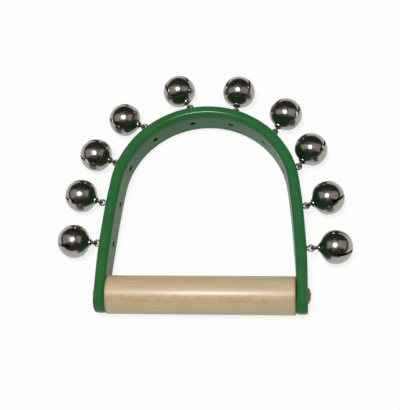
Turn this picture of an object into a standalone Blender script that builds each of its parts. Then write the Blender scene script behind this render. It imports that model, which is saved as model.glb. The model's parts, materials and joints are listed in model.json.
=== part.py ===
"""Jingle ring: a green plastic arch band on a wooden handle, with ten plated bells linked to eye pins.

The ring lies flat. The handle runs along X, the crown of the arch points to +Y, and Z is up. The origin is
under the middle of the ring, on the surface that it lies on. Lengths are in metres and angles in degrees.
"""

import math

import bmesh
import bpy
from mathutils import Matrix, Vector

# Handle
HANDLE_DIAMETER = 0.022
HANDLE_EDGE_RADIUS = 0.0009

# Arch band
BAND_SPAN = 0.1206           # over the outside of the two feet
BAND_DEPTH = 0.0195          # along Z
BAND_THICKNESS = 0.0066
BAND_EDGE_RADIUS = 0.0027
CROWN_RADIUS = 0.056         # outer face of the crown
CROWN_HEIGHT = 0.0596        # centre of the crown above the handle's axis
FOOT_RUN = 0.0042            # the feet run straight this far past the handle's axis
FOOT_ROUND = 0.0062          # and end in half an ellipse, this high and as wide as the band is deep

# Bells
BELL_COUNT = 10
FIRST_BELL = 0.028           # from the handle's axis to the first eye pin, along the band
BELL_DIAMETER = 0.0195
BELL_WALL = 0.0006
NECK_RISE = 0.0002           # the neck's tip stands this far beyond the ball
SHOULDER_ANGLE = 62.0        # the ball turns into the neck this far from the bell's axis
SHOULDER_PULL = 0.36         # how far the neck's curve leaves along the ball, in ball radii
NECK_PULL = 0.0016           # how far it arrives along the neck
SLOT_WIDTH = 0.0015
SLOT_END_DIAMETER = 0.0026
SLOT_ANGLE = 88.0            # the slots reach this far from the bell's far end
PELLET_DIAMETER = 0.005

# Wire eyes
WIRE_DIAMETER = 0.0012
PIN_EYE_BORE = 0.0021
PIN_TIP_RECESS = 0.0004      # leg tips stay at least this far inside the band's inner face
LOOP_BORE = 0.0023
LOOP_TAIL = 0.0022           # the loop's ends reach this far inside the neck before they splay
LOOP_SPLAY = 0.0011          # sideways spread of each end
EYE_GAP_ANGLE = 35.0         # half of the gap where an eye runs into its two legs

# Screws
SCREW_HEAD_DIAMETER = 0.009
SCREW_HEAD_HEIGHT = 0.0017
SCREW_SHANK_DIAMETER = 0.004
SCREW_LENGTH = 0.028         # under the head
SCREW_TIP = 0.005
SCREW_SLOT_WIDTH = 0.0011
SCREW_SLOT_DEPTH = 0.0008

# Clearances
GAP = 0.0003                 # between pieces that touch
LINK_GAP = 0.00025           # least gap between a loop and its eye pin
PELLET_GAP = 0.0008          # between a pellet and the round of its bell

# How each eye pin was fitted and how each bell lies
PIN_SHIFT = (0.003, 0.0016, 0.0006, 0.0012, 0.0029, 0.003, 0.0031, 0.0024, 0.0006, -0.0001)  # along the band
PIN_DRAW = (0.0007, 0.0018, 0.0007, 0.0018, 0.0018, 0.0005, 0.0001, 0.0, 0.0, 0.0005)  # out of its hole
BELL_YAW = (2, 13, 2, -26, -21, -10, -16, -38, -17, -1)  # the link, round its eye
BELL_SLACK = (0, 0, 0, 0, 0, 1, 0, 1, 1, 0)              # the share of the link's slack that is taken up
BELL_TURN = (38, 47, 52, 44, 43, 46, 40, 45, 51, 42)     # each bell on its own axis

# Mesh fineness
BAND_STEPS = 4               # from one eye pin to the next
FOOT_STEPS = 4               # from the last eye pin to a screw
FOOT_END_STEPS = 6           # round the end of a foot
CORNER_STEPS = 3
BELL_SIDES = 16
BALL_STEPS = 6
NECK_STEPS = 4
EYE_STEPS = 9
ROUND_SIDES = 24
HOLE_SIDES = 12
SLOT_END_SIDES = 8
SCREW_SIDES = 16
WIRE_RESOLUTION = 1
SHARP_ANGLE = 35.0
MERGE_DISTANCE = 1e-7

# Derived sizes
HANDLE_RADIUS = HANDLE_DIAMETER / 2
LIE_HEIGHT = max(HANDLE_RADIUS, BAND_DEPTH / 2)  # the handle's axis, above what the ring lies on
FOOT_DROP = max(HANDLE_RADIUS, FOOT_RUN + FOOT_ROUND)  # from the handle's axis to the ring's lower edge
FOOT_X = BAND_SPAN / 2
LEAST_SPLAY = 1e-6           # stands in for limbs that would be quite straight
SPLAY = 2 * math.atan((FOOT_X - CROWN_RADIUS) / CROWN_HEIGHT) or LEAST_SPLAY
LIMB_RADIUS = CROWN_HEIGHT / math.sin(SPLAY) + CROWN_RADIUS
CROWN_ARC = CROWN_RADIUS * (math.pi / 2 - SPLAY)
LIMB_ARC = LIMB_RADIUS * SPLAY
LIMB_INNER = LIMB_RADIUS - BAND_THICKNESS
HANDLE_SAG = max(HANDLE_RADIUS**2 / (2 * LIMB_INNER), 0.0)
HANDLE_LENGTH = BAND_SPAN - 2 * (BAND_THICKNESS + HANDLE_SAG + GAP)
BELL_RADIUS = BELL_DIAMETER / 2
BELL_PITCH = 2 * (CROWN_ARC + LIMB_ARC - FIRST_BELL) / (BELL_COUNT - 1)
WIRE_RADIUS = WIRE_DIAMETER / 2
LEG_OFFSET = WIRE_RADIUS + GAP / 2
LEG_BORE_RADIUS = LEG_OFFSET + WIRE_RADIUS + GAP
EYE_GAP = math.radians(EYE_GAP_ANGLE)
EYE_SEAT = WIRE_RADIUS + GAP / 2
PIN_EYE_RADIUS = PIN_EYE_BORE / 2 + WIRE_RADIUS
PIN_EYE_HEIGHT = PIN_EYE_RADIUS * math.cos(EYE_GAP) + EYE_SEAT
NECK_RADIUS = LEG_BORE_RADIUS + BELL_WALL
NECK_REACH = BELL_RADIUS + NECK_RISE
LOOP_RADIUS = LOOP_BORE / 2 + WIRE_RADIUS
LOOP_CENTRE = NECK_REACH + LOOP_RADIUS * math.cos(EYE_GAP) + EYE_SEAT
LINK_TAUT = WIRE_DIAMETER + LINK_GAP
LINK_LOOSE = max(min(PIN_EYE_BORE, LOOP_BORE) - LINK_GAP, LINK_TAUT)
BELL_DROP = LIE_HEIGHT - BELL_RADIUS
PELLET_OFFSET = BELL_RADIUS - BELL_WALL - PELLET_DIAMETER / 2 - PELLET_GAP
SCREW_BORE_RADIUS = SCREW_SHANK_DIAMETER / 2 + GAP
PIN_FLAT = LEG_BORE_RADIUS + GAP
SCREW_FLAT = SCREW_BORE_RADIUS + GAP


def clear_scene():
    for obj in list(bpy.data.objects):
        bpy.data.objects.remove(obj, do_unlink=True)


def material(name, colour, roughness, metallic):
    made = bpy.data.materials.new(name)
    made.use_nodes = True
    shader = made.node_tree.nodes["Principled BSDF"]
    shader.inputs["Base Color"].default_value = (*colour, 1.0)
    shader.inputs["Roughness"].default_value = roughness
    shader.inputs["Metallic"].default_value = metallic
    return made


def place(name, data, parent, matrix=Matrix()):
    """Links a new object that carries data, placed by matrix in its parent's frame."""
    obj = bpy.data.objects.new(name, data)
    bpy.context.scene.collection.objects.link(obj)
    obj.parent = parent
    obj.matrix_local = matrix
    return obj


def mesh_from(name, bm, finish):
    """Turns a bmesh into a mesh with outward faces, smooth shading and one material."""
    bmesh.ops.remove_doubles(bm, verts=bm.verts, dist=MERGE_DISTANCE)
    bmesh.ops.recalc_face_normals(bm, faces=bm.faces)
    mesh = bpy.data.meshes.new(name)
    bm.to_mesh(mesh)
    bm.free()
    mesh.shade_smooth()
    mesh.set_sharp_from_angle(angle=math.radians(SHARP_ANGLE))
    mesh.materials.append(finish)
    return mesh


def cut(obj, cutters):
    """Cuts the cutters out of an object for good, and removes them."""
    for cutter in cutters:
        step = obj.modifiers.new(cutter.name, "BOOLEAN")
        step.operation = "DIFFERENCE"
        step.solver = "EXACT"
        step.object = cutter
    bpy.context.view_layer.update()
    whole = obj.data
    obj.data = bpy.data.meshes.new_from_object(obj.evaluated_get(bpy.context.evaluated_depsgraph_get()))
    obj.data.name = whole.name
    obj.modifiers.clear()
    bpy.data.meshes.remove(whole)
    for cutter in cutters:
        bpy.data.objects.remove(cutter, do_unlink=True)


def cylinder_cutter(name, radius, start, end, sides, parent=None):
    """A round cutter from start to end."""
    along = end - start
    bm = bmesh.new()
    bmesh.ops.create_cone(
        bm, cap_ends=True, segments=sides, radius1=radius, radius2=radius, depth=along.length
    )
    mesh = bpy.data.meshes.new(name)
    bm.to_mesh(mesh)
    bm.free()
    turn = along.to_track_quat("Z", "Y").to_matrix().to_4x4()
    return as_cutter(place(name, mesh, parent, Matrix.Translation((start + end) / 2) @ turn))


def box_cutter(name, low, high):
    """A box cutter between two corners."""
    bm = bmesh.new()
    bmesh.ops.create_cube(bm, size=1.0)
    bmesh.ops.scale(bm, vec=high - low, verts=bm.verts)
    bmesh.ops.translate(bm, vec=(low + high) / 2, verts=bm.verts)
    mesh = bpy.data.meshes.new(name)
    bm.to_mesh(mesh)
    bm.free()
    return as_cutter(place(name, mesh, None))


def as_cutter(obj):
    obj.hide_render = True
    obj.display_type = "WIRE"
    return obj


def turned(name, profile, axis, sides, finish):
    """A solid of revolution: a profile in the XY plane, spun about an axis through the origin."""
    bm = bmesh.new()
    points = [bm.verts.new((x, y, 0.0)) for x, y in profile]
    edges = [bm.edges.new(pair) for pair in zip(points, points[1:])]
    bmesh.ops.spin(
        bm, geom=points + edges, cent=(0, 0, 0), axis=axis, angle=2 * math.pi, steps=sides, use_merge=True
    )
    return mesh_from(name, bm, finish)


def band_station(distance):
    """The outer face at a distance along it from the crown's top: its point and outward direction."""
    side = math.copysign(1.0, distance)
    run = abs(distance)
    if run <= CROWN_ARC:
        lean = math.pi / 2 - run / CROWN_RADIUS
        x = CROWN_RADIUS * math.cos(lean)
        y = CROWN_HEIGHT + CROWN_RADIUS * math.sin(lean)
    else:
        lean = SPLAY * (1.0 - min((run - CROWN_ARC) / LIMB_ARC, 1.0))
        x = FOOT_X - LIMB_RADIUS * (1.0 - math.cos(lean))
        y = LIMB_RADIUS * math.sin(lean) - max(run - CROWN_ARC - LIMB_ARC, 0.0)
    return Vector((side * x, y, 0.0)), Vector((side * math.cos(lean), math.sin(lean), 0.0))


def station_frame(distance, lift=0.0):
    """A frame on the outer face: X along the band, Y outward, Z up."""
    point, outward = band_station(distance)
    along = outward.cross(Vector((0.0, 0.0, 1.0)))
    turn = Matrix((along, outward, Vector((0.0, 0.0, 1.0)))).transposed().to_4x4()
    return Matrix.Translation(point + outward * lift) @ turn


def own(values, index):
    """One bell's own value. With more bells than values they come round again."""
    return values[index % len(values)]


def bell_distances():
    middle = (BELL_COUNT - 1) / 2
    return [(index - middle) * BELL_PITCH + own(PIN_SHIFT, index) for index in range(BELL_COUNT)]


def between(start, end, steps):
    return [start + (end - start) * step / steps for step in range(steps + 1)]


def band_distances():
    """Where the band's cross-sections stand, foot to foot, with a flat at each eye pin and each screw."""
    pins = bell_distances()
    axis = CROWN_ARC + LIMB_ARC
    limb = between(pins[-1] + PIN_FLAT, axis - SCREW_FLAT, FOOT_STEPS) + [axis + FOOT_RUN]
    stations = [-distance for distance in reversed(limb)]
    for pin, following in zip(pins, pins[1:]):
        stations += between(pin + PIN_FLAT, following - PIN_FLAT, BAND_STEPS)
    return stations + limb


def band_section():
    """The band's cross-section, a rectangle with rounded corners, as depth across the band and height."""
    corners = ((0.0, 1), (-BAND_THICKNESS, 1), (-BAND_THICKNESS, -1), (0.0, -1))
    section = []
    for quarter, (face, rise) in enumerate(corners):
        inset = -BAND_EDGE_RADIUS if face == 0.0 else BAND_EDGE_RADIUS
        centre = Vector((face + inset, rise * (BAND_DEPTH / 2 - BAND_EDGE_RADIUS)))
        for step in range(CORNER_STEPS + 1):
            angle = math.pi / 2 * (quarter + step / CORNER_STEPS)
            section.append(centre + BAND_EDGE_RADIUS * Vector((math.cos(angle), math.sin(angle))))
    return section


def round_feet(bm):
    """Closes the band's two open ends: the upper half of each swings over to its lower half."""
    faces = [edge for edge in bm.edges if edge.is_boundary and edge.calc_length() > BAND_DEPTH / 3]
    bmesh.ops.subdivide_edges(bm, edges=faces, cuts=1)
    ends = [edge for edge in bm.edges if edge.is_boundary]
    upper = [edge for edge in ends if all(vert.co.z > -MERGE_DISTANCE for vert in edge.verts)]
    points = list(dict.fromkeys(vert for edge in upper for vert in edge.verts))
    start = Vector((0.0, -FOOT_RUN, 0.0))
    bmesh.ops.spin(
        bm, geom=points + upper, cent=start, axis=(1, 0, 0), angle=math.pi, steps=FOOT_END_STEPS
    )
    swung = [vert for vert in bm.verts if vert.co.y < start.y - MERGE_DISTANCE]
    flatten = Vector((1.0, FOOT_ROUND / (BAND_DEPTH / 2), 1.0))
    bmesh.ops.scale(bm, vec=flatten, space=Matrix.Translation(-start), verts=swung)


def make_band(root, finish):
    """The arch band, with round-ended feet and a hole for each eye pin and each screw."""
    bm = bmesh.new()
    section = band_section()
    rings = []
    for distance in band_distances():
        frame = station_frame(distance)
        rings.append([bm.verts.new(frame @ Vector((0.0, across, height))) for across, height in section])
    count = len(section)
    for ring, following in zip(rings, rings[1:]):
        for index in range(count):
            after = (index + 1) % count
            bm.faces.new((ring[index], ring[after], following[after], following[index]))
    round_feet(bm)
    band = place("arch_band", mesh_from("arch_band", bm, finish), root)
    holes = []
    for distance in bell_distances():
        point, outward = band_station(distance)
        inside = point - outward * BAND_THICKNESS
        start, end = inside - outward * GAP, point + outward * GAP
        holes.append(cylinder_cutter("pin_hole", LEG_BORE_RADIUS, start, end, HOLE_SIDES, root))
    for side in (-1, 1):
        outside = Vector((side * (FOOT_X + GAP), 0.0, 0.0))
        inside = Vector((side * (FOOT_X - BAND_THICKNESS - GAP), 0.0, 0.0))
        holes.append(cylinder_cutter("screw_hole", SCREW_BORE_RADIUS, inside, outside, HOLE_SIDES, root))
    cut(band, holes)
    return band


def make_handle(root, finish):
    """The dowel, with a pilot bore in each end."""
    end = HANDLE_LENGTH / 2
    edge = [
        (
            end - HANDLE_EDGE_RADIUS * (1 - math.sin(angle)),
            HANDLE_RADIUS - HANDLE_EDGE_RADIUS * (1 - math.cos(angle)),
        )
        for angle in (math.pi / 2 * step / CORNER_STEPS for step in range(CORNER_STEPS + 1))
    ]
    half = edge + [(end, 0.0)]
    profile = [(-x, y) for x, y in reversed(half)] + half
    handle = place("handle_dowel", turned("handle_dowel", profile, (1, 0, 0), ROUND_SIDES, finish), root)
    bores = []
    depth = SCREW_LENGTH - BAND_THICKNESS
    for side in (-1, 1):
        mouth = Vector((side * (end + GAP), 0.0, 0.0))
        bottom = Vector((side * (end - depth - GAP), 0.0, 0.0))
        bores.append(cylinder_cutter("screw_bore", SCREW_BORE_RADIUS, bottom, mouth, HOLE_SIDES, root))
    cut(handle, bores)
    return handle


def make_screws(root, finish):
    """A domed screw through each foot into the handle. The screw's own axis is X, its head at +X."""
    head = SCREW_HEAD_DIAMETER / 2
    dome = [
        (GAP + SCREW_HEAD_HEIGHT * math.cos(angle), head * math.sin(angle))
        for angle in (math.pi / 2 * step / CORNER_STEPS for step in range(CORNER_STEPS + 1))
    ]
    shank = SCREW_SHANK_DIAMETER / 2
    profile = dome + [(GAP, shank), (SCREW_TIP - SCREW_LENGTH, shank), (-SCREW_LENGTH, 0.0)]
    mesh = turned("handle_screw", profile, (1, 0, 0), SCREW_SIDES, finish)
    pattern = place("screw_pattern", mesh, None)
    top = GAP + SCREW_HEAD_HEIGHT
    low = Vector((top - SCREW_SLOT_DEPTH, -SCREW_SLOT_WIDTH / 2, -head))
    high = Vector((top + SCREW_SLOT_DEPTH, SCREW_SLOT_WIDTH / 2, head))
    cut(pattern, [box_cutter("screw_slot", low, high)])
    mesh = pattern.data
    bpy.data.objects.remove(pattern, do_unlink=True)
    for name, turn, side in (("handle_screw_left", math.pi, -1), ("handle_screw_right", 0.0, 1)):
        seat = Matrix.Translation((side * FOOT_X, 0.0, 0.0)) @ Matrix.Rotation(turn, 4, "Z")
        place(name, mesh, root, seat)


def wire_eye(name, centre, radius, mouth, tails, finish):
    """A wire bent into an eye, in the XY plane: from one tail, round the eye, to the other tail.

    centre is the eye's height on Y, mouth the height where its two legs run together, and tails the
    points that the right-hand leg follows from there.
    """
    half = [Vector((LEG_OFFSET, mouth))] + [Vector(tail) for tail in tails]
    turn = [(math.pi - EYE_GAP) * (1 - 2 * step / EYE_STEPS) for step in range(EYE_STEPS + 1)]
    eye = [Vector((radius * math.sin(angle), centre + radius * math.cos(angle))) for angle in turn]
    mirrored = [Vector((-x, y)) for x, y in half]
    points = list(reversed(half)) + eye + mirrored
    curve = bpy.data.curves.new(name, "CURVE")
    curve.dimensions = "3D"
    curve.bevel_depth = WIRE_RADIUS
    curve.bevel_resolution = WIRE_RESOLUTION
    curve.use_fill_caps = True
    spline = curve.splines.new("POLY")
    spline.points.add(len(points) - 1)
    for node, point in zip(spline.points, points):
        node.co = (point.x, point.y, 0.0, 1.0)
    curve.materials.append(finish)
    return curve


def pin_wire(finish):
    """An eye pin, with Y pointing out of the band from the middle of its hole."""
    tip = PIN_TIP_RECESS - BAND_THICKNESS
    return wire_eye("eye_pin", PIN_EYE_HEIGHT, PIN_EYE_RADIUS, 0.0, [(LEG_OFFSET, tip)], finish)


def loop_wire(finish):
    """A bell's loop. Y points from the bell's centre to the link, and the ends splay inside the neck."""
    inside = NECK_REACH - LOOP_TAIL
    tails = [(LEG_OFFSET, inside), (LEG_OFFSET + LOOP_SPLAY, inside - LOOP_SPLAY / 2)]
    return wire_eye("bell_loop", LOOP_CENTRE, LOOP_RADIUS, NECK_REACH, tails, finish)


def bell_outline(inset):
    """Half of the bell's outline as radius and distance along its axis, neck at +Y, moved inward by inset."""
    shoulder = math.radians(SHOULDER_ANGLE)
    radius = BELL_RADIUS - inset
    ball = []
    for step in range(BALL_STEPS + 1):
        angle = math.pi - (math.pi - shoulder) * step / BALL_STEPS
        ball.append(Vector((radius * math.sin(angle), radius * math.cos(angle))))
    start = BELL_RADIUS * Vector((math.sin(shoulder), math.cos(shoulder)))
    leave = start + SHOULDER_PULL * BELL_RADIUS * Vector((-math.cos(shoulder), math.sin(shoulder)))
    tip = Vector((NECK_RADIUS, NECK_REACH))
    arrive = tip - Vector((0.0, NECK_PULL))
    neck = []
    for step in range(1, NECK_STEPS + 1):
        t = step / NECK_STEPS
        u = 1 - t
        point = u**3 * start + 3 * u * u * t * leave + 3 * u * t * t * arrive + t**3 * tip
        slope = (u * u * (leave - start) + 2 * u * t * (arrive - leave) + t * t * (tip - arrive)).normalized()
        neck.append(point + inset * Vector((-slope.y, slope.x)))
    return ball + neck


def bell_mesh(finish):
    """A bell shell about its own centre, with its neck along +Y and a cross of slots at the far end."""
    profile = bell_outline(0.0) + list(reversed(bell_outline(BELL_WALL)))
    pattern = place("bell_pattern", turned("bell_shell", profile, (0, 1, 0), BELL_SIDES, finish), None)
    reach = BELL_RADIUS * math.sin(math.radians(SLOT_ANGLE))
    start = -BELL_RADIUS * math.cos(math.radians(SLOT_ANGLE))
    past = BELL_RADIUS + GAP
    half = SLOT_WIDTH / 2
    cutters = [
        box_cutter("slot_x", Vector((-reach, -past, -half)), Vector((reach, start, half))),
        box_cutter("slot_z", Vector((-half, -past, -reach)), Vector((half, start, reach))),
    ]
    for along in (Vector((past, 0.0, 0.0)), Vector((0.0, 0.0, past))):
        level = Vector((0.0, start, 0.0))
        start_end = (level - along, level + along)
        cutters.append(cylinder_cutter("slot_end", SLOT_END_DIAMETER / 2, *start_end, SLOT_END_SIDES))
    cut(pattern, cutters)
    mesh = pattern.data
    bpy.data.objects.remove(pattern, do_unlink=True)
    return mesh


def pellet_mesh(finish):
    """A bell's pellet, off the bell's axis so that it rolls round the inside of the ball."""
    bm = bmesh.new()
    bmesh.ops.create_icosphere(bm, subdivisions=2, radius=PELLET_DIAMETER / 2)
    bmesh.ops.translate(bm, vec=(0.0, 0.0, -PELLET_OFFSET), verts=bm.verts)
    return mesh_from("bell_pellet", bm, finish)


def pin_frame(index, distance):
    return station_frame(distance, own(PIN_DRAW, index))


def link_frame(index, distance):
    """The frame of a bell's link, on the wire of its eye pin, and the frame of the bell as it lies.

    The link lies anywhere round the eye. X runs along the wire there, which the link swings about, and Y
    points out of the eye. The bell's own Y points back at the link.
    """
    round_eye = Matrix.Rotation(-math.radians(own(BELL_YAW, index)), 4, "Z")
    eye = pin_frame(index, distance) @ Matrix.Translation((0.0, PIN_EYE_HEIGHT, 0.0))
    pivot = eye @ round_eye @ Matrix.Translation((0.0, PIN_EYE_RADIUS, 0.0))
    slack = own(BELL_SLACK, index) * (LINK_LOOSE - LINK_TAUT)
    reach = LOOP_CENTRE + LOOP_RADIUS - LINK_TAUT - slack
    droop = Matrix.Rotation(-math.asin(BELL_DROP / reach), 4, "X")
    facing = Matrix.Translation((0.0, reach, 0.0)) @ Matrix.Rotation(math.pi, 4, "Z")
    return pivot, droop @ facing


def make_bells(root, finishes):
    """Eye pins, loops, shells and pellets. A bell's moving pieces hang from an empty on its link."""
    pin = pin_wire(finishes["wire"])
    loop = loop_wire(finishes["wire"])
    shell = bell_mesh(finishes["bell"])
    pellet = pellet_mesh(finishes["pellet"])
    loop_turn = Matrix.Rotation(math.pi / 2, 4, "Y")
    for index, distance in enumerate(bell_distances()):
        number = f"{index + 1:02d}"
        place(f"eye_pin_{number}", pin, root, pin_frame(index, distance))
        pivot, lie = link_frame(index, distance)
        link = place(f"link_{number}", None, root, pivot)
        turn = Matrix.Rotation(math.radians(own(BELL_TURN, index)), 4, "Y")
        place(f"bell_loop_{number}", loop, link, lie @ loop_turn)
        place(f"bell_shell_{number}", shell, link, lie @ turn)
        place(f"bell_pellet_{number}", pellet, link, lie)


def bell_centres():
    centres = []
    for index, distance in enumerate(bell_distances()):
        pivot, lie = link_frame(index, distance)
        centres.append((pivot @ lie).translation)
    return centres


def ring_origin():
    """Moves the ring so that the origin is under the middle of it, on the surface that it lies on."""
    centres = bell_centres()
    low_x = min(centre.x for centre in centres) - BELL_RADIUS
    high_x = max(centre.x for centre in centres) + BELL_RADIUS
    high_y = max(centre.y for centre in centres) + BELL_RADIUS
    return Vector((-(low_x + high_x) / 2, -(high_y - FOOT_DROP) / 2, LIE_HEIGHT))


def main():
    clear_scene()
    plastic = material("green_plastic", (0.027, 0.147, 0.041), 0.35, 0.0)
    wood = material("beech", (0.69, 0.52, 0.33), 0.5, 0.0)
    nickel = material("nickel_plate", (0.6, 0.58, 0.55), 0.12, 1.0)
    wire = material("plated_wire", (0.55, 0.53, 0.5), 0.25, 1.0)
    steel = material("screw_steel", (0.3, 0.29, 0.27), 0.4, 1.0)
    root = place("jingle_ring", None, None, Matrix.Translation(ring_origin()))
    make_band(root, plastic)
    make_handle(root, wood)
    make_screws(root, steel)
    make_bells(root, {"bell": nickel, "wire": wire, "pellet": steel})


main()
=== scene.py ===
import json
import math

import bmesh
import bpy
from mathutils import Matrix, Vector

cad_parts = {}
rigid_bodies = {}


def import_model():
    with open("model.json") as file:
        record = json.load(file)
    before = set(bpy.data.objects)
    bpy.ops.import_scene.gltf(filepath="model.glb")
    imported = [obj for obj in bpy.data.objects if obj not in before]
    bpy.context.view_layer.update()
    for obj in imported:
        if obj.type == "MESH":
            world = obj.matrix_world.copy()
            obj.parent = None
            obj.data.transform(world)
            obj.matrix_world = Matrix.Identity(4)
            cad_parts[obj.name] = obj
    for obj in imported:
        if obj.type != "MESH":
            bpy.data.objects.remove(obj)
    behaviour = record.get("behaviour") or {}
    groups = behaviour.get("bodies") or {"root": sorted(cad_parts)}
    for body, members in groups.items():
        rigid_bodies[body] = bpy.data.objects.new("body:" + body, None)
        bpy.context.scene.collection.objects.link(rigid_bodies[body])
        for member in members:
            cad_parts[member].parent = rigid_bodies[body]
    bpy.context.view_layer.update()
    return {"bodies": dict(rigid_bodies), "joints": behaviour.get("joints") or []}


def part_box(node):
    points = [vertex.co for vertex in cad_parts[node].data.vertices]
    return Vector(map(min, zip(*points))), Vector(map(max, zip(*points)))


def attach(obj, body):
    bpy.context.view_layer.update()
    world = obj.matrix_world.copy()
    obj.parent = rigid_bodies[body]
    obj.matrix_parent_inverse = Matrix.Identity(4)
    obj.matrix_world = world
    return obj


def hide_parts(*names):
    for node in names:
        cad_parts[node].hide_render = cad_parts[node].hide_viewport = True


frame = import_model()
joints = {joint["name"]: joint for joint in frame["joints"]}
bellNumbers = sorted(name[-2:] for name in frame["bodies"] if name.startswith("bell_"))
mm = 0.001
touching = 0.001 * mm      # points closer than this are one point
overrun = 1 * mm      # how far a cutter reaches past the face that it cuts
smoothAngle = 40      # an edge that turns by more than this, in degrees, stays crisp
up = Vector((0, 0, 1))
handleLow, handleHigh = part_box("handle_dowel")
handleCentre = (handleLow + handleHigh) / 2      # the ring is laid out from the middle of its handle
print("frame loaded with", len(bellNumbers), "bells")


def hexColour(code):      # sRGB hex to linear
    channels = [int(code[place:place + 2], 16) / 255 for place in (1, 3, 5)]
    return (*[c / 12.92 if c <= 0.04045 else ((c + 0.055) / 1.055) ** 2.4 for c in channels], 1)


# inputs go by name, or by number where one name comes twice: a colour Mix has its share at 0 and its two
# colours at 6 and 7, and gives the mixed colour at output 2
def addNode(tree, kind, inputs=None, **settings):
    node = tree.nodes.new(kind)
    for key, value in settings.items():
        setattr(node, key, value)
    for key, value in (inputs or {}).items():
        if isinstance(value, bpy.types.NodeSocket):
            tree.links.new(value, node.inputs[key])
        else:
            node.inputs[key].default_value = value
    return node


def newMaterial(name):
    material = bpy.data.materials.new(name)
    material.use_nodes = True
    tree = material.node_tree
    return material, tree, tree.nodes["Principled BSDF"]


def shadeSmooth(mesh, creaseAngle=smoothAngle):
    mesh.shade_smooth()
    mesh.set_sharp_from_angle(angle=math.radians(creaseAngle))


def toMesh(name, bm, materials):
    mesh = bpy.data.meshes.new(name)
    bm.to_mesh(mesh)
    bm.free()
    for material in materials:
        mesh.materials.append(material)
    shadeSmooth(mesh)
    return mesh


def addObject(name, data):
    obj = bpy.data.objects.new(name, data)
    bpy.context.scene.collection.objects.link(obj)
    return obj


def addPiece(name, mesh, body, node, matrix=Matrix()):
    mesh.transform(matrix)      # the place goes into the mesh, and the object stays at the origin
    piece = addObject(name, mesh)
    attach(piece, body)
    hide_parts(node)


def cutAway(mesh, cutters, creaseAngle=smoothAngle):      # cuts away bmesh shapes and gives back a new mesh
    target = addObject("cutting", mesh)
    tools = []
    for cutter in cutters:
        toolMesh = bpy.data.meshes.new("cutter")
        cutter.to_mesh(toolMesh)
        cutter.free()
        tool = addObject("cutter", toolMesh)
        step = target.modifiers.new("cut", "BOOLEAN")
        step.operation, step.solver, step.object = "DIFFERENCE", "EXACT", tool
        tools.append(tool)
    bpy.context.view_layer.update()
    result = bpy.data.meshes.new_from_object(target.evaluated_get(bpy.context.evaluated_depsgraph_get()))
    for obj in [target, *tools]:
        bpy.data.objects.remove(obj, do_unlink=True)
    bm = bmesh.new()
    bm.from_mesh(result)
    bmesh.ops.remove_doubles(bm, verts=bm.verts, dist=touching)      # a cut through a point leaves it double
    bm.to_mesh(result)
    bm.free()
    shadeSmooth(result, creaseAngle)
    return result


def rodCutter(start, end, radius, sides=32):
    along = end - start
    turn = along.to_track_quat("Z", "Y").to_matrix().to_4x4()
    bm = bmesh.new()
    bmesh.ops.create_cone(
        bm, cap_ends=True, segments=sides, radius1=radius, radius2=radius, depth=along.length,
        matrix=Matrix.Translation((start + end) / 2) @ turn,
    )
    return bm


def boxCutter(low, high):
    bm = bmesh.new()
    bmesh.ops.create_cube(bm, size=1)
    bmesh.ops.scale(bm, vec=high - low, verts=bm.verts)
    bmesh.ops.translate(bm, vec=(low + high) / 2, verts=bm.verts)
    return bm


def edgesOf(items):
    return [item for item in items if isinstance(item, bmesh.types.BMEdge)]


def vertsOf(items):
    return [item for item in items if isinstance(item, bmesh.types.BMVert)]


def pushLoop(bm, edges, offset):      # draws a loop of edges out along a straight line
    made = bmesh.ops.extrude_edge_only(bm, edges=edges)["geom"]
    fresh = vertsOf(made)
    bmesh.ops.translate(bm, vec=offset, verts=fresh)
    freshSet = set(fresh)
    return [edge for edge in edgesOf(made) if all(vert in freshSet for vert in edge.verts)]


def swingLoop(bm, edges, centre, angle, steps, axis=up):      # draws it round a bend
    verts = list(dict.fromkeys(vert for edge in edges for vert in edge.verts))
    last = bmesh.ops.spin(
        bm, geom=verts + edges, cent=centre, axis=axis, angle=angle, steps=steps, use_merge=False
    )["geom_last"]
    return edgesOf(last)


def closeUp(bm):
    bmesh.ops.remove_doubles(bm, verts=bm.verts, dist=touching)
    bmesh.ops.recalc_face_normals(bm, faces=bm.faces)


# ABS plastic, injection moulded: an even green with a clean gloss, dulled to satin on the mould's core side;
# the satin copy is given a slightly lighter green, which is painted light
def makeGreenPlastic(name, deep, bright, roughLow, roughHigh, shine):
    plastic = dict(
        mottle=9 * mm, scuff=0.5 * mm, peel=1.6 * mm, peelDepth=0.05 * mm, peelStrength=0.06, ior=1.53,
    )
    material, tree, shader = newMaterial(name)
    place = addNode(tree, "ShaderNodeTexCoord").outputs["Object"]
    cloud = addNode(
        tree, "ShaderNodeTexNoise", {"Vector": place, "Scale": 1 / plastic["mottle"], "Detail": 3.0}
    )
    tone = addNode(
        tree, "ShaderNodeMix",
        {0: cloud.outputs["Fac"], 6: hexColour(deep), 7: hexColour(bright)}, data_type="RGBA",
    )
    scuff = addNode(
        tree, "ShaderNodeTexNoise", {"Vector": place, "Scale": 1 / plastic["scuff"], "Detail": 4.0}
    )
    gloss = addNode(
        tree, "ShaderNodeMapRange",
        {
            "Value": scuff.outputs["Fac"], "From Min": 0.3, "From Max": 0.7,
            "To Min": roughLow, "To Max": roughHigh,
        },
    )
    peel = addNode(
        tree, "ShaderNodeTexNoise", {"Vector": place, "Scale": 1 / plastic["peel"], "Detail": 1.0}
    )
    bump = addNode(
        tree, "ShaderNodeBump",
        {
            "Height": peel.outputs["Fac"], "Strength": plastic["peelStrength"],
            "Distance": plastic["peelDepth"],
        },
    )
    shader.inputs["IOR"].default_value = plastic["ior"]
    shader.inputs["Specular IOR Level"].default_value = shine
    tree.links.new(tone.outputs[2], shader.inputs["Base Color"])
    tree.links.new(gloss.outputs[0], shader.inputs["Roughness"])
    tree.links.new(bump.outputs[0], shader.inputs["Normal"])
    return material
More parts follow.
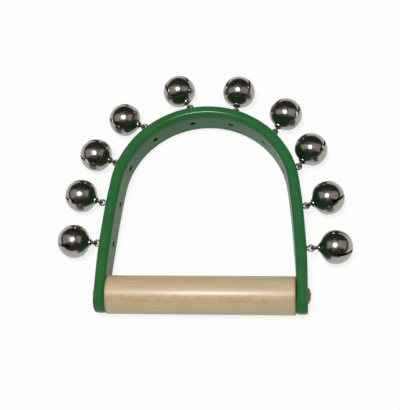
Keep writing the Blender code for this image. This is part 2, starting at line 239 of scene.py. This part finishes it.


# beech, turned and varnished: pale pinkish tan, faint long grain, a row of short orange-brown ray flecks
# along the side that was cut towards the heart, and a darker orange-brown towards the two ends
def makeBeech():
    wood = dict(
        pale="#cdba98", warm="#c1ab87", fleck="#ad7a42", end="#a3743f",
        grainWide=0.6 * mm, grainLong=16 * mm, grainDepth=0.05 * mm, grainStrength=0.1,
        fleckWide=0.8 * mm, fleckLong=2.2 * mm, fleckTurn=-26, fleckReach=3.2 * mm, fleckLeast=0.25,
        clusterWide=3 * mm, clusterLong=4.5 * mm, clusterLeast=0.2, clusterMost=0.52,
        endReach=1.3 * mm, endDarkShare=0.7, rough=0.4, varnish=0.12, varnishRough=0.22,
    )
    material, tree, shader = newMaterial("varnishedBeech")
    place = addNode(tree, "ShaderNodeTexCoord").outputs["Object"]
    grainSize = (1 / wood["grainLong"], 1 / wood["grainWide"], 1 / wood["grainWide"])
    grainPlace = addNode(tree, "ShaderNodeMapping", {"Vector": place, "Scale": grainSize})
    grain = addNode(
        tree, "ShaderNodeTexNoise", {"Vector": grainPlace.outputs[0], "Scale": 1.0, "Detail": 4.0}
    )
    shade = addNode(
        tree, "ShaderNodeMapRange",
        {"Value": grain.outputs["Fac"], "From Min": 0.3, "From Max": 0.7, "To Min": 0.0, "To Max": 1.0},
    )
    tone = addNode(
        tree, "ShaderNodeMix",
        {0: shade.outputs[0], 6: hexColour(wood["pale"]), 7: hexColour(wood["warm"])}, data_type="RGBA",
    )
    # the handle's own axes, turned so that the flecked side faces Z
    turn = (math.radians(wood["fleckTurn"]), 0, 0)
    own = addNode(tree, "ShaderNodeVectorMath", {0: place, 1: handleCentre}, operation="SUBTRACT")
    turned = addNode(tree, "ShaderNodeMapping", {"Vector": own.outputs[0], "Rotation": turn})
    side = addNode(tree, "ShaderNodeSeparateXYZ", {0: turned.outputs[0]})
    fleckSize = (1 / wood["fleckLong"], 1 / wood["fleckWide"], 1 / wood["fleckWide"])
    fleckPlace = addNode(tree, "ShaderNodeMapping", {"Vector": turned.outputs[0], "Scale": fleckSize})
    cells = addNode(tree, "ShaderNodeTexVoronoi", {"Vector": fleckPlace.outputs[0], "Scale": 1.0})
    dash = addNode(
        tree, "ShaderNodeMapRange",
        {
            "Value": cells.outputs["Distance"], "From Min": 0.7, "From Max": 0.2,
            "To Min": wood["fleckLeast"], "To Max": 1.0,
        },
    )
    clusterSize = (1 / wood["clusterLong"], 1 / wood["clusterWide"], 1 / wood["clusterWide"])
    clusterPlace = addNode(tree, "ShaderNodeMapping", {"Vector": turned.outputs[0], "Scale": clusterSize})
    cluster = addNode(
        tree, "ShaderNodeTexNoise", {"Vector": clusterPlace.outputs[0], "Scale": 1.0, "Detail": 1.0}
    )
    some = addNode(
        tree, "ShaderNodeMapRange",
        {
            "Value": cluster.outputs["Fac"], "From Min": 0.4, "From Max": 0.62,
            "To Min": wood["clusterLeast"], "To Max": wood["clusterMost"],
        },
    )
    off = addNode(tree, "ShaderNodeMath", {0: side.outputs["Y"]}, operation="ABSOLUTE")
    near = addNode(
        tree, "ShaderNodeMapRange",
        {
            "Value": off.outputs[0], "From Min": wood["fleckReach"], "From Max": wood["fleckReach"] / 2,
            "To Min": 0.0, "To Max": 1.0,
        },
    )
    mask = addNode(tree, "ShaderNodeMath", {0: dash.outputs[0], 1: some.outputs[0]}, operation="MULTIPLY")
    mask = addNode(tree, "ShaderNodeMath", {0: mask.outputs[0], 1: near.outputs[0]}, operation="MULTIPLY")
    flecked = addNode(
        tree, "ShaderNodeMix",
        {0: mask.outputs[0], 6: tone.outputs[2], 7: hexColour(wood["fleck"])}, data_type="RGBA",
    )
    # the colour turns darker orange-brown over the last part of each end, where the dowel meets the band
    halfLength = (handleHigh.x - handleLow.x) / 2
    along = addNode(tree, "ShaderNodeMath", {0: side.outputs["X"]}, operation="ABSOLUTE")
    atEnd = addNode(
        tree, "ShaderNodeMapRange",
        {
            "Value": along.outputs[0], "From Min": halfLength - wood["endReach"], "From Max": halfLength,
            "To Min": 0.0, "To Max": wood["endDarkShare"],
        },
    )
    endDarkened = addNode(
        tree, "ShaderNodeMix",
        {0: atEnd.outputs[0], 6: flecked.outputs[2], 7: hexColour(wood["end"])}, data_type="RGBA",
    )
    bump = addNode(
        tree, "ShaderNodeBump",
        {"Height": grain.outputs["Fac"], "Strength": wood["grainStrength"], "Distance": wood["grainDepth"]},
    )
    tree.links.new(endDarkened.outputs[2], shader.inputs["Base Color"])
    tree.links.new(bump.outputs[0], shader.inputs["Normal"])
    shader.inputs["Roughness"].default_value = wood["rough"]
    shader.inputs["Coat Weight"].default_value = wood["varnish"]
    shader.inputs["Coat Roughness"].default_value = wood["varnishRough"]
    return material


# bright nickel plate: a mirror with slight waves, veiled by hairline scratches that are too fine to show one
# by one; the duller metals are made the same way, with more roughness
def makeNickel(name, colour, roughLow, roughHigh, wave, metal=1.0):
    plate = dict(smear=3 * mm, ripple=5 * mm, rippleDepth=0.2 * mm, scratch=0.12 * mm, scratchRough=0.55)
    material, tree, shader = newMaterial(name)
    place = addNode(tree, "ShaderNodeTexCoord").outputs["Object"]
    smear = addNode(
        tree, "ShaderNodeTexNoise", {"Vector": place, "Scale": 1 / plate["smear"], "Detail": 5.0}
    )
    gloss = addNode(
        tree, "ShaderNodeMapRange",
        {
            "Value": smear.outputs["Fac"], "From Min": 0.3, "From Max": 0.7,
            "To Min": roughLow, "To Max": roughHigh,
        },
    )
    scratch = addNode(
        tree, "ShaderNodeTexNoise", {"Vector": place, "Scale": 1 / plate["scratch"], "Detail": 2.0}
    )
    veiled = addNode(
        tree, "ShaderNodeMapRange",
        {
            "Value": scratch.outputs["Fac"], "From Min": 0.6, "From Max": 0.64,
            "To Min": gloss.outputs[0], "To Max": plate["scratchRough"],
        },
    )
    ripple = addNode(
        tree, "ShaderNodeTexNoise", {"Vector": place, "Scale": 1 / plate["ripple"], "Detail": 1.0}
    )
    bump = addNode(
        tree, "ShaderNodeBump",
        {"Height": ripple.outputs["Fac"], "Strength": wave, "Distance": plate["rippleDepth"]},
    )
    shader.inputs["Base Color"].default_value = hexColour(colour)
    shader.inputs["Metallic"].default_value = metal
    tree.links.new(veiled.outputs[0], shader.inputs["Roughness"])
    tree.links.new(bump.outputs[0], shader.inputs["Normal"])
    return material


greenPlastic = makeGreenPlastic(
    "mouldedGreenAbs", deep="#265f2f", bright="#2f7140", roughLow=0.16, roughHigh=0.24, shine=0.15
)
# the satin copy: rougher and shinier, and its green is painted a little lighter and greener than the gloss
# copy, as painted light on the inner face
satinPlasticPaintedLighter = makeGreenPlastic(
    "satinGreenAbsPaintedLighter", deep="#296430", bright="#327642", roughLow=0.34, roughHigh=0.44, shine=0.33
)
beech = makeBeech()
nickel = makeNickel("brightNickelPlate", "#adaaa4", roughLow=0.15, roughHigh=0.22, wave=0.1)
wirePlate = makeNickel("platedSteelWire", "#857e73", roughLow=0.26, roughHigh=0.38, wave=0.1)
bareInside = makeNickel("dullBrassInside", "#8a7446", roughLow=0.45, roughHigh=0.6, wave=0.1, metal=0.4)
zinc = makeNickel("dulledZincPlate", "#8f857a", roughLow=0.3, roughHigh=0.45, wave=0.2)
ballSteel = makeNickel("tumbledSteelBall", "#9a9896", roughLow=0.25, roughHigh=0.4, wave=0.2)
print("materials made")

band = dict(
    thickness=6.6 * mm, edge=2.8 * mm, crownRadius=56 * mm, crownHeight=59.6 * mm,
    lean=0.8 * mm, leanFade=20 * mm, glossReach=5 * mm,
    footRadius=10.5 * mm, footEase=0.2 * mm, footSquare=0.35,
    pinHole=1.65 * mm, pinHoleOverrun=3 * mm, screwHole=2.3 * mm,
    edgeSteps=9, crownSteps=84, limbSteps=34, footSteps=24,
    sideCuts=7,      # an odd number, for a point at mid depth
    creaseAngle=20,      # keeps the line where each foot's arc starts crisp
)
pinEye = dict(
    radius=1.65 * mm, height=2.1 * mm, bend=1.0 * mm, tipDepth=6.8 * mm,
    yaw=(2, 13, 2, -26, -21, -10, -16, -38, -17, -1),      # where each link lies round its eye, in degrees
)
bellLoop = dict(radius=1.75 * mm, centre=12.134 * mm, bend=1.0 * mm, tail=7.6 * mm)
wire = dict(
    radius=0.6 * mm, legOffset=0.75 * mm, tipRound=0.15 * mm, tipSteps=2, sides=16, eyeSteps=40, bendSteps=8,
)

# the arch in plan, from the middle of the handle: a crown of one radius between two limbs of a larger one
bandLow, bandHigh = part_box("arch_band")
halfSpan, halfDepth = (bandHigh.x - bandLow.x) / 2, (bandHigh.z - bandLow.z) / 2
splay = 2 * math.atan((halfSpan - band["crownRadius"]) / band["crownHeight"])      # how far each limb bends
limbRadius = band["crownHeight"] / math.sin(splay) + band["crownRadius"]
crown = Vector((0, band["crownHeight"], 0))
footRun = math.sqrt(band["footRadius"] ** 2 - halfDepth ** 2)      # where a foot's straight rims end


def pinFrame(number):      # on the outer face of the band: X along it, Y outward, Z up
    swing = joints["swing_" + number]
    fromEye = up.cross(Vector(swing["axis"]))
    outward = Matrix.Rotation(math.radians(pinEye["yaw"][int(number) - 1]), 3, "Z") @ fromEye
    matrix = Matrix((outward.cross(up), outward, up)).transposed().to_4x4()
    matrix.translation = Vector(swing["pos_m"]) - fromEye * pinEye["radius"] - outward * pinEye["height"]
    return matrix


def bellFrame(number):      # in the bell's centre: Y towards its link, Z up
    link, axis = Vector(joints["swing_" + number]["axis"]), Vector(joints["turn_" + number]["axis"])
    rise = link.cross(axis).normalized()
    rise = rise if rise.z > 0 else -rise
    matrix = Matrix((axis.cross(rise), axis, rise)).transposed().to_4x4()
    matrix.translation = Vector(joints["turn_" + number]["pos_m"])
    return matrix


def sweepBand():      # draws the rounded section from the left foot over the crown to the right foot
    bm = bmesh.new()
    corners = [
        bm.verts.new((across - halfSpan, -footRun, rise))
        for across, rise in (
            (0, -halfDepth), (band["thickness"], -halfDepth), (band["thickness"], halfDepth), (0, halfDepth)
        )
    ]
    bm.faces.new(corners)
    bmesh.ops.bevel(
        bm, geom=corners, offset=band["edge"], segments=band["edgeSteps"], profile=0.5, affect="VERTICES",
        material=-1,
    )
    longSides = [edge for edge in bm.edges if edge.calc_length() > band["edge"]]
    bmesh.ops.subdivide_edges(bm, edges=longSides, cuts=band["sideCuts"])
    bmesh.ops.delete(bm, geom=list(bm.faces), context="FACES_KEEP_BOUNDARY")
    start = list(bm.edges)
    run, ease = Vector((0, footRun, 0)), Vector((0, band["footEase"], 0))
    ring = pushLoop(bm, start, ease)
    ring = pushLoop(bm, ring, run - ease)
    ring = swingLoop(bm, ring, Vector((limbRadius - halfSpan, 0, 0)), -splay, band["limbSteps"])
    ring = swingLoop(bm, ring, crown, 2 * splay - math.pi, band["crownSteps"])
    ring = swingLoop(bm, ring, Vector((halfSpan - limbRadius, 0, 0)), -splay, band["limbSteps"])
    ring = pushLoop(bm, ring, ease - run)
    ring = pushLoop(bm, ring, -ease)
    # the front half of each end swings over to its back half and closes the foot
    for end in (start, ring):
        upper = [edge for edge in end if all(vert.co.z > -touching for vert in edge.verts)]
        swingLoop(bm, upper, -run, math.pi, band["footSteps"], Vector((1, 0, 0)))
    closeUp(bm)
    return bm


def shapeFeet(bm):      # each foot ends in an arc about the handle's axis, with squarer edges towards its tip
    half = band["thickness"] / 2
    for vert in bm.verts:
        drop, reach = -footRun - vert.co.y, math.sqrt(max(halfDepth ** 2 - vert.co.z ** 2, 0))
        if drop > 0 and reach > 0:
            drop *= (math.sqrt(band["footRadius"] ** 2 - vert.co.z ** 2) - footRun) / reach
            vert.co.y = -footRun - drop
            middle = math.copysign(halfSpan - half, vert.co.x)
            wider = (vert.co.x - middle) * (1 + band["footSquare"] * drop / (band["footRadius"] - footRun))
            vert.co.x = middle + min(max(wider, -half), half)


def leanInside(bm):      # the mould's draft: the wall grows thicker towards the back, but not at the handle
    for vert in bm.verts:
        spot = vert.co
        if spot.y > band["crownHeight"]:
            fromOuter = band["crownRadius"] - (spot - crown).xy.length
        else:
            fromOuter = limbRadius - math.hypot(abs(spot.x) + limbRadius - halfSpan, spot.y)
        depthShare = (halfDepth - spot.z) / (2 * halfDepth)
        fade = min(max((spot.y - band["leanFade"] / 2) / band["leanFade"], 0), 1)
        inward = Vector((-spot.x, min(band["crownHeight"] - spot.y, 0), 0)).normalized()
        vert.co += inward * band["lean"] * fade * depthShare * fromOuter / band["thickness"]


def markSatinPaintedLighter(bm):      # the inner face is satin, away from its two rims, and its slightly lighter green is painted light
    inside = crown / 2
    for face in bm.faces:
        middle = face.calc_center_median()
        fromMiddle = math.hypot(min(middle.y + footRun, 0), middle.z)
        inner = face.normal.dot(middle - inside) < 0 and fromMiddle < halfDepth - band["glossReach"]
        face.material_index = 1 if inner else 0


def bandCutters():      # a hole for each eye pin and for each handle screw
    cutters = []
    for number in bellNumbers:
        base = pinFrame(number)
        inner = base @ Vector((0, -band["thickness"] - band["pinHoleOverrun"], 0))
        cutters.append(rodCutter(inner, base @ Vector((0, overrun, 0)), band["pinHole"]))
    for side in (-1, 1):
        inner = handleCentre + Vector((side * (halfSpan - band["thickness"] - overrun), 0, 0))
        outer = handleCentre + Vector((side * (halfSpan + overrun), 0, 0))
        cutters.append(rodCutter(inner, outer, band["screwHole"]))
    return cutters


def makeBand():
    bm = sweepBand()
    shapeFeet(bm)
    leanInside(bm)
    markSatinPaintedLighter(bm)
    bmesh.ops.translate(bm, vec=handleCentre, verts=bm.verts)
    mesh = toMesh("archBand", bm, [greenPlastic, satinPlasticPaintedLighter])
    mesh = cutAway(mesh, bandCutters(), band["creaseAngle"])
    addPiece("archBand", mesh, "ring_frame", "arch_band")


makeBand()
print("band made")

handle = dict(
    edge=0.4 * mm, edgeSteps=6, bore=2.3 * mm, boreDepth=21.9 * mm, turns=96,
    snug=0.25 * mm,      # the ends close up to the band, where the CAD solids keep a gap
)


def makeHandle():
    length = (handleHigh.x - handleLow.x) / 2 + handle["snug"]
    radius = (handleHigh.z - handleLow.z) / 2
    bm = bmesh.new()
    outline = [
        bm.verts.new((x, y, 0)) for x, y in (
            (length - handle["boreDepth"], 0), (length - handle["boreDepth"], handle["bore"]),
            (length, handle["bore"]), (length, radius), (0, radius),
        )
    ]
    for pair in zip(outline, outline[1:]):
        bm.edges.new(pair)
    rim = outline[3]
    bmesh.ops.bevel(
        bm, geom=[rim], offset=handle["edge"], segments=handle["edgeSteps"], profile=0.5, affect="VERTICES",
        material=-1,
    )
    bmesh.ops.mirror(bm, geom=[*bm.verts, *bm.edges], axis="X", merge_dist=touching)
    bmesh.ops.spin(
        bm, geom=[*bm.verts, *bm.edges], cent=(0, 0, 0), axis=(1, 0, 0), angle=2 * math.pi,
        steps=handle["turns"], use_merge=True,
    )
    closeUp(bm)
    bmesh.ops.translate(bm, vec=handleCentre, verts=bm.verts)
    addPiece("handleDowel", toMesh("handleDowel", bm, [beech]), "ring_frame", "handle_dowel")


makeHandle()
print("handle made")

screw = dict(
    headRadius=4.5 * mm, headHeight=1.7 * mm, seat=0.05 * mm, shank=2.0 * mm, length=28 * mm, tip=5 * mm,
    slotWidth=1.1 * mm, slotDepth=0.8 * mm, domeSteps=10, turns=48,
)


def makeScrew(name, node, side):      # along X, with the outer face of the band at the origin
    bm = bmesh.new()
    top = screw["seat"] + screw["headHeight"]
    point = bm.verts.new((1, 0, 0))
    bmesh.ops.spin(bm, geom=[point], cent=(0, 0, 0), axis=up, angle=math.pi / 2, steps=screw["domeSteps"])
    bmesh.ops.scale(bm, vec=(screw["headHeight"], screw["headRadius"], 1), verts=bm.verts)
    bmesh.ops.translate(bm, vec=(screw["seat"], 0, 0), verts=bm.verts)
    last = max(bm.verts, key=lambda vert: vert.co.y)
    for x, y in (
        (screw["seat"], screw["shank"]),
        (screw["tip"] - screw["length"], screw["shank"]),
        (-screw["length"], 0),
    ):
        following = bm.verts.new((x, y, 0))
        bm.edges.new((last, following))
        last = following
    bmesh.ops.spin(
        bm, geom=[*bm.verts, *bm.edges], cent=(0, 0, 0), axis=(1, 0, 0), angle=2 * math.pi,
        steps=screw["turns"], use_merge=True,
    )
    closeUp(bm)
    half = screw["slotWidth"] / 2
    slot = boxCutter(
        Vector((top - screw["slotDepth"], -half, -screw["headRadius"])),
        Vector((top + overrun, half, screw["headRadius"])),
    )
    mesh = cutAway(toMesh(name, bm, [zinc]), [slot])
    place = handleCentre + Vector((side * halfSpan, 0, 0))
    turn = Matrix.Rotation(0 if side > 0 else math.pi, 4, "Z")
    addPiece(name, mesh, "ring_frame", node, Matrix.Translation(place) @ turn)


makeScrew("handleScrewLeft", "handle_screw_left", -1)
makeScrew("handleScrewRight", "handle_screw_right", 1)
print("screws made")


def makeEye(name, radius, centre, bend, tip):      # a wire eye in the XY plane, its two legs along -Y
    bm = bmesh.new()
    across = wire["legOffset"] + bend
    lean = math.asin(across / (radius + bend))      # where the bend at the foot of the eye runs into the eye
    start = centre - math.sqrt((radius + bend) ** 2 - across ** 2)
    bmesh.ops.create_circle(
        bm, cap_ends=True, radius=wire["radius"], segments=wire["sides"],
        matrix=Matrix.Translation((wire["legOffset"], tip, 0)) @ Matrix.Rotation(math.pi / 2, 4, "X"),
    )
    ring = list(bm.edges)
    ring = pushLoop(bm, ring, Vector((0, start - tip, 0)))
    ring = swingLoop(bm, ring, Vector((across, start, 0)), lean - math.pi / 2, wire["bendSteps"])
    ring = swingLoop(bm, ring, Vector((0, centre, 0)), 2 * math.pi - 2 * lean, wire["eyeSteps"])
    ring = swingLoop(bm, ring, Vector((-across, start, 0)), lean - math.pi / 2, wire["bendSteps"])
    ring = pushLoop(bm, ring, Vector((0, tip - start, 0)))
    bmesh.ops.contextual_create(bm, geom=ring)
    closeUp(bm)
    caps = [face for face in bm.faces if len(face.verts) > 4]      # the two flat ends of the wire
    bmesh.ops.bevel(
        bm, geom=[edge for cap in caps for edge in cap.edges], offset=wire["tipRound"],
        segments=wire["tipSteps"], profile=0.5, affect="EDGES", material=-1,
    )
    return toMesh(name, bm, [wirePlate])


pinMesh = makeEye("eyePin", pinEye["radius"], pinEye["height"], pinEye["bend"], -pinEye["tipDepth"])
loopMesh = makeEye("bellLoop", bellLoop["radius"], bellLoop["centre"], bellLoop["bend"], bellLoop["tail"])
crossways = Matrix.Rotation(math.pi / 2, 4, "Y")      # a bell's loop lies across its eye pin
for number in bellNumbers:
    addPiece(
        "eyePin" + number, pinMesh.copy(), "ring_frame", "eye_pin_" + number, pinFrame(number)
    )
    addPiece(
        "bellLoop" + number, loopMesh.copy(), "loop_" + number, "bell_loop_" + number,
        bellFrame(number) @ crossways,
    )
print("wire eyes made")

bell = dict(
    radius=9.75 * mm, wall=0.6 * mm, shoulder=62, shoulderPull=3.51 * mm,
    neckReach=9.95 * mm, neckRadius=2.25 * mm, neckPull=1.6 * mm,
    slotWidth=1.5 * mm, slotHole=1.3 * mm, slotAngle=88, ballSteps=40, neckSteps=16, turns=80,
    turned=(38, 47, 52, 44, 43, 46, 40, 45, 51, 42),      # how each bell lies turned on its axis, in degrees
)


def drawBell(bm):      # half of the outline, from the far end of the ball to the rim of the neck
    pole = bm.verts.new((0, -bell["radius"], 0))
    shoulder = math.radians(bell["shoulder"])
    bmesh.ops.spin(
        bm, geom=[pole], cent=(0, 0, 0), axis=up, angle=math.pi - shoulder, steps=bell["ballSteps"]
    )
    start = bell["radius"] * Vector((math.sin(shoulder), math.cos(shoulder), 0))
    leave = start + bell["shoulderPull"] * Vector((-math.cos(shoulder), math.sin(shoulder), 0))
    tip = Vector((bell["neckRadius"], bell["neckReach"], 0))
    arrive = tip - Vector((0, bell["neckPull"], 0))
    last = max(bm.verts, key=lambda vert: vert.co.y)
    for step in range(1, bell["neckSteps"] + 1):      # the drawn neck leaves the ball in one smooth curve
        t = step / bell["neckSteps"]
        u = 1 - t
        following = bm.verts.new(u**3 * start + 3 * u * u * t * leave + 3 * u * t * t * arrive + t**3 * tip)
        bm.edges.new((last, following))
        last = following


def slotCutters():      # two crossed slots over the far end, with round holes at their ends
    reach = bell["radius"] * math.sin(math.radians(bell["slotAngle"]))
    level = -bell["radius"] * math.cos(math.radians(bell["slotAngle"]))
    past, half = bell["radius"] + overrun, bell["slotWidth"] / 2
    return [
        boxCutter(Vector((-reach, -past, -half)), Vector((reach, level, half))),
        boxCutter(Vector((-half, -past, -reach)), Vector((half, level, reach))),
        rodCutter(Vector((-past, level, 0)), Vector((past, level, 0)), bell["slotHole"]),
        rodCutter(Vector((0, level, -past)), Vector((0, level, past)), bell["slotHole"]),
    ]


def makeBell():
    bm = bmesh.new()
    drawBell(bm)
    bmesh.ops.spin(
        bm, geom=[*bm.verts, *bm.edges], cent=(0, 0, 0), axis=(0, 1, 0), angle=2 * math.pi,
        steps=bell["turns"], use_merge=True,
    )
    closeUp(bm)
    bmesh.ops.solidify(bm, geom=list(bm.faces), thickness=bell["wall"])
    midWall = bell["radius"] - bell["wall"] / 2
    for face in bm.faces:
        middle = face.calc_center_median()
        if middle.length < midWall and face.normal.dot(middle) < 0:
            face.material_index = 1
    return cutAway(toMesh("bellShell", bm, [nickel, bareInside]), slotCutters())


bellMesh = makeBell()
for number, turn in zip(bellNumbers, bell["turned"]):
    place = bellFrame(number) @ Matrix.Rotation(math.radians(turn), 4, "Y")
    addPiece(
        "bellShell" + number, bellMesh.copy(), "bell_" + number, "bell_shell_" + number, place
    )
print("bells made")

pellet = dict(subdivisions=4)
for number in bellNumbers:
    low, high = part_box("bell_pellet_" + number)
    bm = bmesh.new()
    bmesh.ops.create_icosphere(
        bm, subdivisions=pellet["subdivisions"], radius=(high.z - low.z) / 2,
        matrix=Matrix.Translation((low + high) / 2),
    )
    addPiece(
        "bellPellet" + number, toMesh("bellPellet", bm, [ballSteel]), "pellet_" + number,
        "bell_pellet_" + number,
    )
print("pellets made")

studio = dict(
    floorReach=40, paper="#f2f2f2", paperRough=0.9, paperGlow="#ffffff", paperSeen=0.85, paperMirrored=0.12,
    roomColour="#1e1d1b",
    lampColour="#ffffff", lampHeight=3.0, lampSize=0.7, lampPower=80, lampPlace=(-0.25, -0.28),
    boxColour="#e6dcc8", boxGlow=0.55, boxSize=(0.5, 0.58), boxReach=0.62, boxRise=42,
)


def addLamp(name, shape, size, power, colour, place):      # an area lamp that faces the middle of the floor
    lamp = bpy.data.lights.new(name, "AREA")
    lamp.shape, lamp.size, lamp.size_y, lamp.energy = shape, size[0], size[1], power
    lamp.color = hexColour(colour)[:3]
    lampObject = addObject(name, lamp)
    lampObject.location = place
    lampObject.rotation_euler = Vector(place).to_track_quat("Z", "Y").to_euler()


# white paper, matt: the eye and the bright metal see a near-white ground, which still keeps a faint shadow
def makePaper():
    paper, tree, shader = newMaterial("whitePaperGround")
    shader.inputs["Base Color"].default_value = hexColour(studio["paper"])
    shader.inputs["Roughness"].default_value = studio["paperRough"]
    path = addNode(tree, "ShaderNodeLightPath").outputs
    bounced = addNode(
        tree, "ShaderNodeMath", {0: path["Is Glossy Ray"], 1: path["Is Transmission Ray"]},
        operation="MAXIMUM",
    )
    bounced = addNode(
        tree, "ShaderNodeMath", {0: bounced.outputs[0], 1: studio["paperMirrored"]}, operation="MULTIPLY"
    )
    share = addNode(
        tree, "ShaderNodeMath", {0: path["Is Camera Ray"], 1: studio["paperSeen"], 2: bounced.outputs[0]},
        operation="MULTIPLY_ADD",
    )
    glow = addNode(tree, "ShaderNodeEmission", {"Color": hexColour(studio["paperGlow"]), "Strength": 1.0})
    mixed = addNode(
        tree, "ShaderNodeMixShader", {0: share.outputs[0], 1: shader.outputs[0], 2: glow.outputs[0]}
    )
    tree.links.new(mixed.outputs[0], tree.nodes["Material Output"].inputs["Surface"])
    return paper


def makeStudio():
    bm = bmesh.new()
    bmesh.ops.create_grid(bm, x_segments=1, y_segments=1, size=studio["floorReach"])
    addObject("floor", toMesh("floor", bm, [makePaper()]))
    world = bpy.data.worlds.new("darkRoom")
    bpy.context.scene.world = world
    world.use_nodes = True
    world.node_tree.nodes["Background"].inputs["Color"].default_value = hexColour(studio["roomColour"])
    addLamp(
        "lampOverhead", "DISK", (studio["lampSize"], studio["lampSize"]), studio["lampPower"],
        studio["lampColour"], (*studio["lampPlace"], studio["lampHeight"]),
    )
    rise = math.radians(studio["boxRise"])
    power = studio["boxGlow"] * math.pi * studio["boxSize"][0] * studio["boxSize"][1]
    for name, side in (("boxLeft", -1), ("boxRight", 1)):
        place = (side * studio["boxReach"] * math.cos(rise), 0, studio["boxReach"] * math.sin(rise))
        addLamp(name, "RECTANGLE", studio["boxSize"], power, studio["boxColour"], place)


makeStudio()

view = dict(
    place=(63.2 * mm, -159.3 * mm, 541.2 * mm),      # from the middle of the handle
    turn=(21.694, 6.056, 2.222),      # in degrees
    focalPixels=1000, pictureSize=(400, 410), sensorWidth=36,
)
cameraData = bpy.data.cameras.new("camera")
cameraData.sensor_width = view["sensorWidth"]
cameraData.lens = view["sensorWidth"] * view["focalPixels"] / max(view["pictureSize"])
camera = addObject("camera", cameraData)
camera.location = handleCentre + Vector(view["place"])
camera.rotation_euler = [math.radians(angle) for angle in view["turn"]]
bpy.context.scene.camera = camera
bpy.context.scene.view_settings.view_transform = "Standard"
print("studio and camera made")
